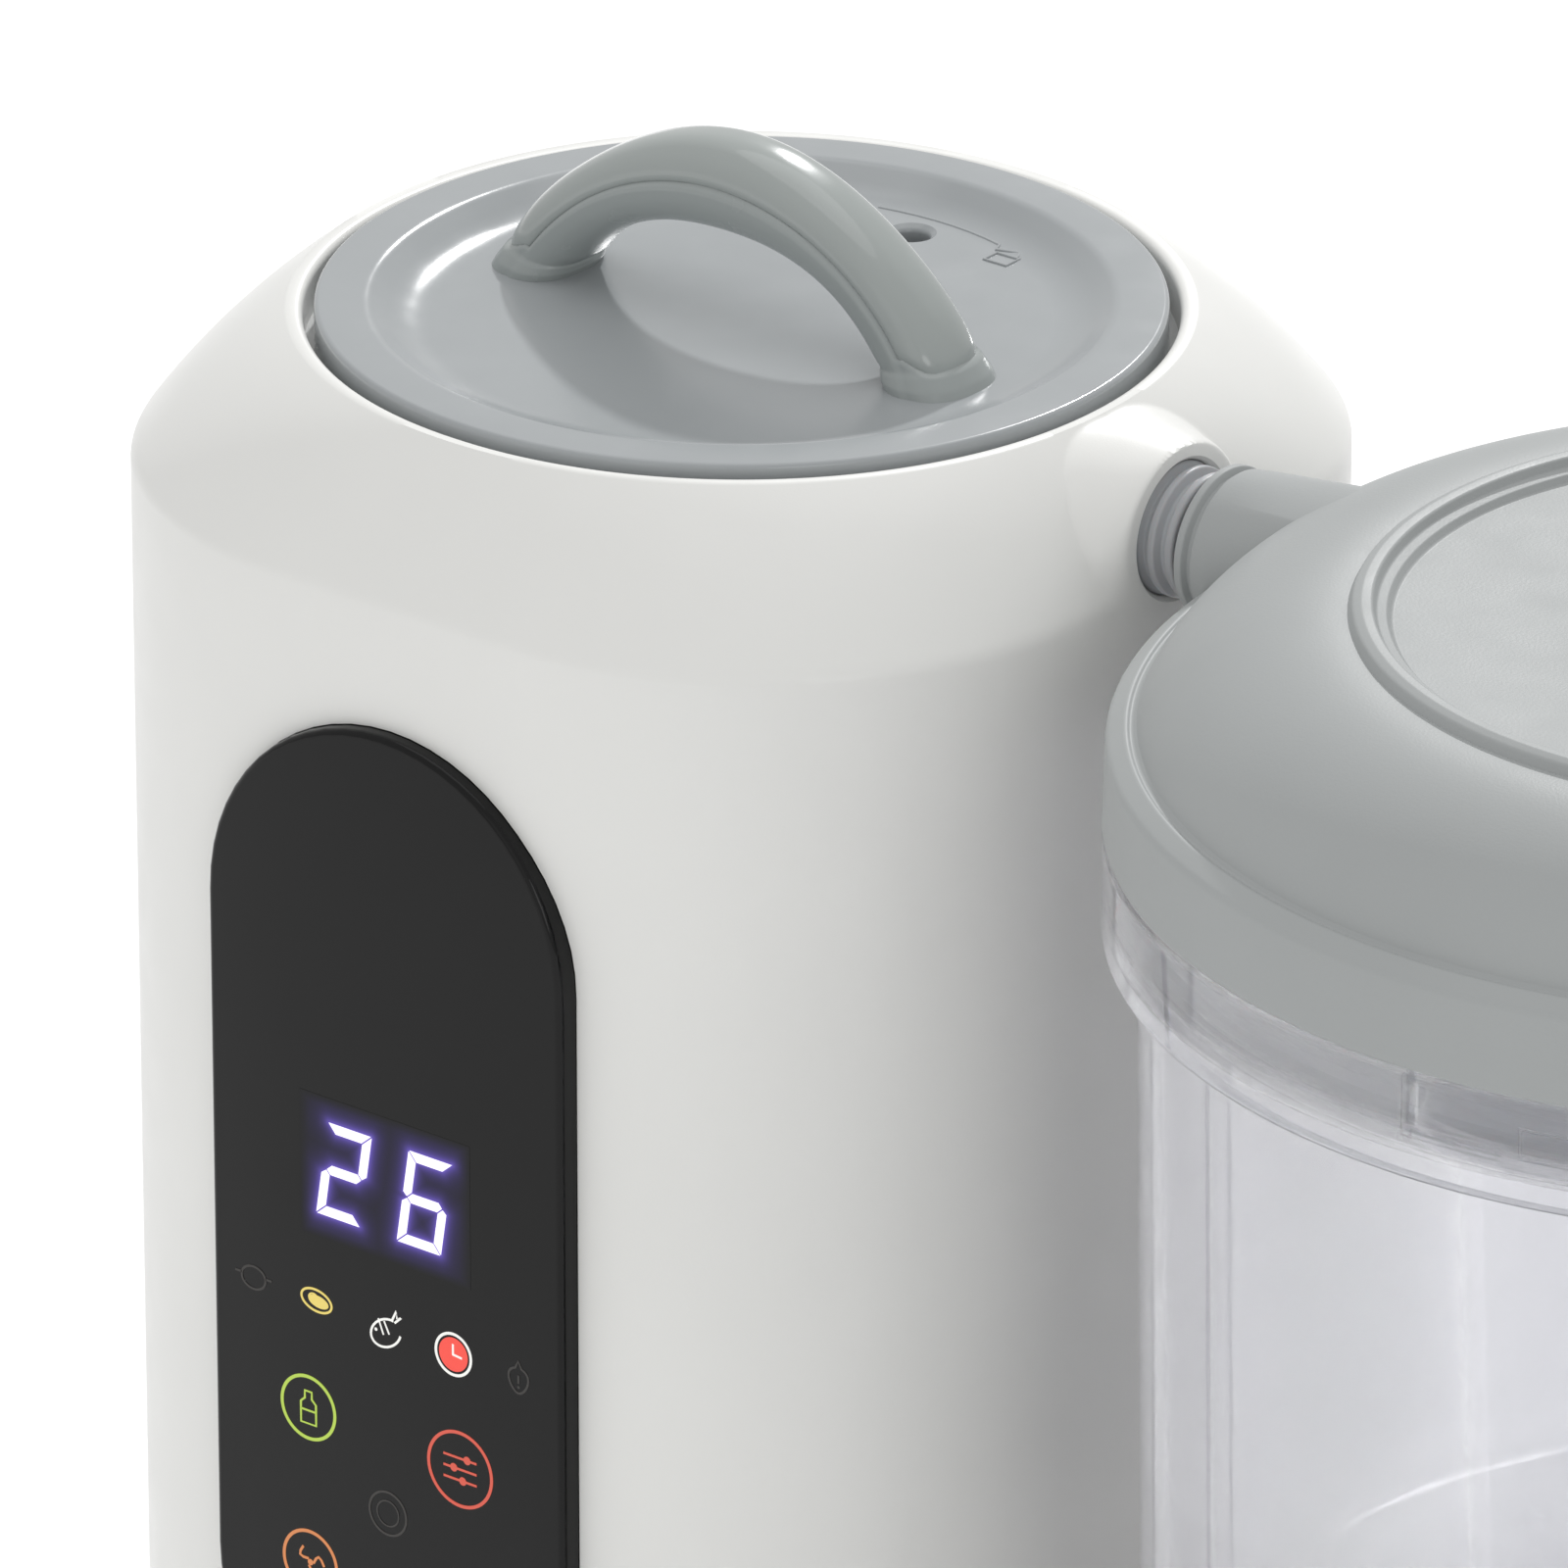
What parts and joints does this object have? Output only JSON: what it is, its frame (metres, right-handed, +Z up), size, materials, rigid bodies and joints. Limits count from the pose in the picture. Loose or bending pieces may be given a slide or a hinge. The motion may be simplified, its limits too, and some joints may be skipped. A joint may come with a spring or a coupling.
{
  "type": "baby food maker",
  "caption": "Steam tower with water tank, touch panel and arched lid handle beside a clear blending jar with steam basket, spouted lid and side handle.",
  "frame": {"origin": "middle of the footprint, on the table under the rubber feet", "axes": "+Z up, -Y towards the user and the control panel, +X towards the jar and its handle"},
  "size_m": [0.344, 0.166, 0.2735],
  "materials": {
    "white_shell": "satin moulded ABS",
    "grey_lid": "glossy moulded PP",
    "grey_handle": "glossy moulded",
    "clear_jar": "clear moulded copolyester",
    "frosted_basket": "translucent moulded PP",
    "panel_black": "gloss printed glass-like plate",
    "display_black": "potted display block",
    "board_green": "circuit board laminate",
    "part_black": "moulded",
    "silicone_grey": "satin silicone",
    "silicone_clear": "satin silicone",
    "rubber_black": "matt rubber",
    "tank_white": "moulded PP",
    "stainless": "satin stainless steel",
    "blade_steel": "ground stainless steel",
    "zinc_screw": "bright zinc",
    "spring_steel": "drawn wire",
    "cast_aluminium": "as cast",
    "motor_steel": "zinc plated sheet",
    "core_steel": "stacked laminations",
    "copper_wire": "enamelled copper winding",
    "bearing_bronze": "sintered bronze",
    "coupling_black": "glass-filled nylon"
  },
  "bodies": {
    "root": {"base_housing": "white_shell", "tower_shell": "white_shell", "bottom_cover": "white_shell", "rubber_feet": "rubber_black", "cover_screws": "zinc_screw", "tower_screws": "zinc_screw", "cord_gland": "rubber_black", "control_panel": "panel_black", "display_module": "display_black", "control_board": "board_green", "touch_springs": "spring_steel", "board_screws": "zinc_screw", "power_board": "board_green", "power_parts": "part_black", "water_tank": "tank_white", "boiler_seal": "silicone_clear", "heating_plate": "stainless", "heat_spreader": "cast_aluminium", "heating_element": "stainless", "thermostat": "part_black", "thermal_fuse": "zinc_screw", "steam_duct": "tank_white", "port_gasket": "silicone_grey", "seat_ring": "rubber_black", "drip_seal": "rubber_black", "motor_can": "motor_steel", "motor_end_plate": "part_black", "motor_bearings": "bearing_bronze", "stator_core": "core_steel", "field_coils": "copper_wire", "motor_bracket": "motor_steel", "motor_mounts": "rubber_black", "interlock_spring": "spring_steel", "interlock_switch": "part_black"},
    "tank_seal": {"tank_lid_seal": "silicone_clear"},
    "tank_cover": {"tank_lid": "grey_lid", "tank_handle": "grey_handle", "tank_handle_insert": "grey_handle"},
    "motor_spindle": {"motor_shaft": "stainless", "motor_rotor": "core_steel", "cooling_fan": "coupling_black", "drive_coupling": "coupling_black"},
    "plunger": {"interlock_plunger": "tank_white"},
    "jar": {"jar_body": "clear_jar", "jar_handle": "grey_handle", "handle_screws": "zinc_screw", "jar_collar": "grey_lid", "jar_gasket": "silicone_clear", "blade_bush": "bearing_bronze", "blade_seal": "rubber_black"},
    "blade_unit": {"driven_coupling": "coupling_black", "blade_shaft": "stainless", "blades": "blade_steel", "blade_nut": "stainless"},
    "basket": {"steam_basket": "frosted_basket"},
    "jar_seal": {"jar_lid_seal": "silicone_grey"},
    "jar_cover": {"jar_lid": "grey_lid", "lid_handle": "grey_handle", "lid_handle_insert": "grey_handle"}
  },
  "joints": [
    {"name": "tank_lid_lift", "type": "slide", "parent": "root", "child": "tank_seal", "axis": [0, 0, 1], "range_m": [0, 0.06]},
    {"name": "tank_lid_turn", "type": "hinge", "parent": "tank_seal", "child": "tank_cover", "pos_m": [-0.101, 0, 0.248], "axis": [0, 0, 1], "range_deg": [0, 30]},
    {"name": "motor_spin", "type": "hinge", "parent": "root", "child": "motor_spindle", "pos_m": [0.059, 0, 0.035], "axis": [0, 0, 1], "continuous": true},
    {"name": "interlock_press", "type": "slide", "parent": "root", "child": "plunger", "axis": [0, 0, 1], "range_m": [-0.002, 0], "stiffness_N_per_m": 200, "springref_m": 0.002, "deforming": ["interlock_spring"]},
    {"name": "jar_lift", "type": "slide", "parent": "root", "child": "jar", "axis": [0, 0, 1], "range_m": [0, 0.12]},
    {"name": "blade_spin", "type": "hinge", "parent": "jar", "child": "blade_unit", "pos_m": [0.059, 0, 0.08], "axis": [0, 0, 1], "continuous": true},
    {"name": "basket_lift", "type": "slide", "parent": "jar", "child": "basket", "axis": [0, 0, 1], "range_m": [0, 0.11]},
    {"name": "jar_lid_lift", "type": "slide", "parent": "basket", "child": "jar_seal", "axis": [0, 0, 1], "range_m": [0, 0.06]},
    {"name": "jar_lid_turn", "type": "hinge", "parent": "jar_seal", "child": "jar_cover", "pos_m": [0.059, 0, 0.248], "axis": [0, 0, 1], "range_deg": [0, 40]}
  ],
  "couplings": [
    {"joint": "blade_spin", "follows": "motor_spin", "ratio": 1}
  ]
}
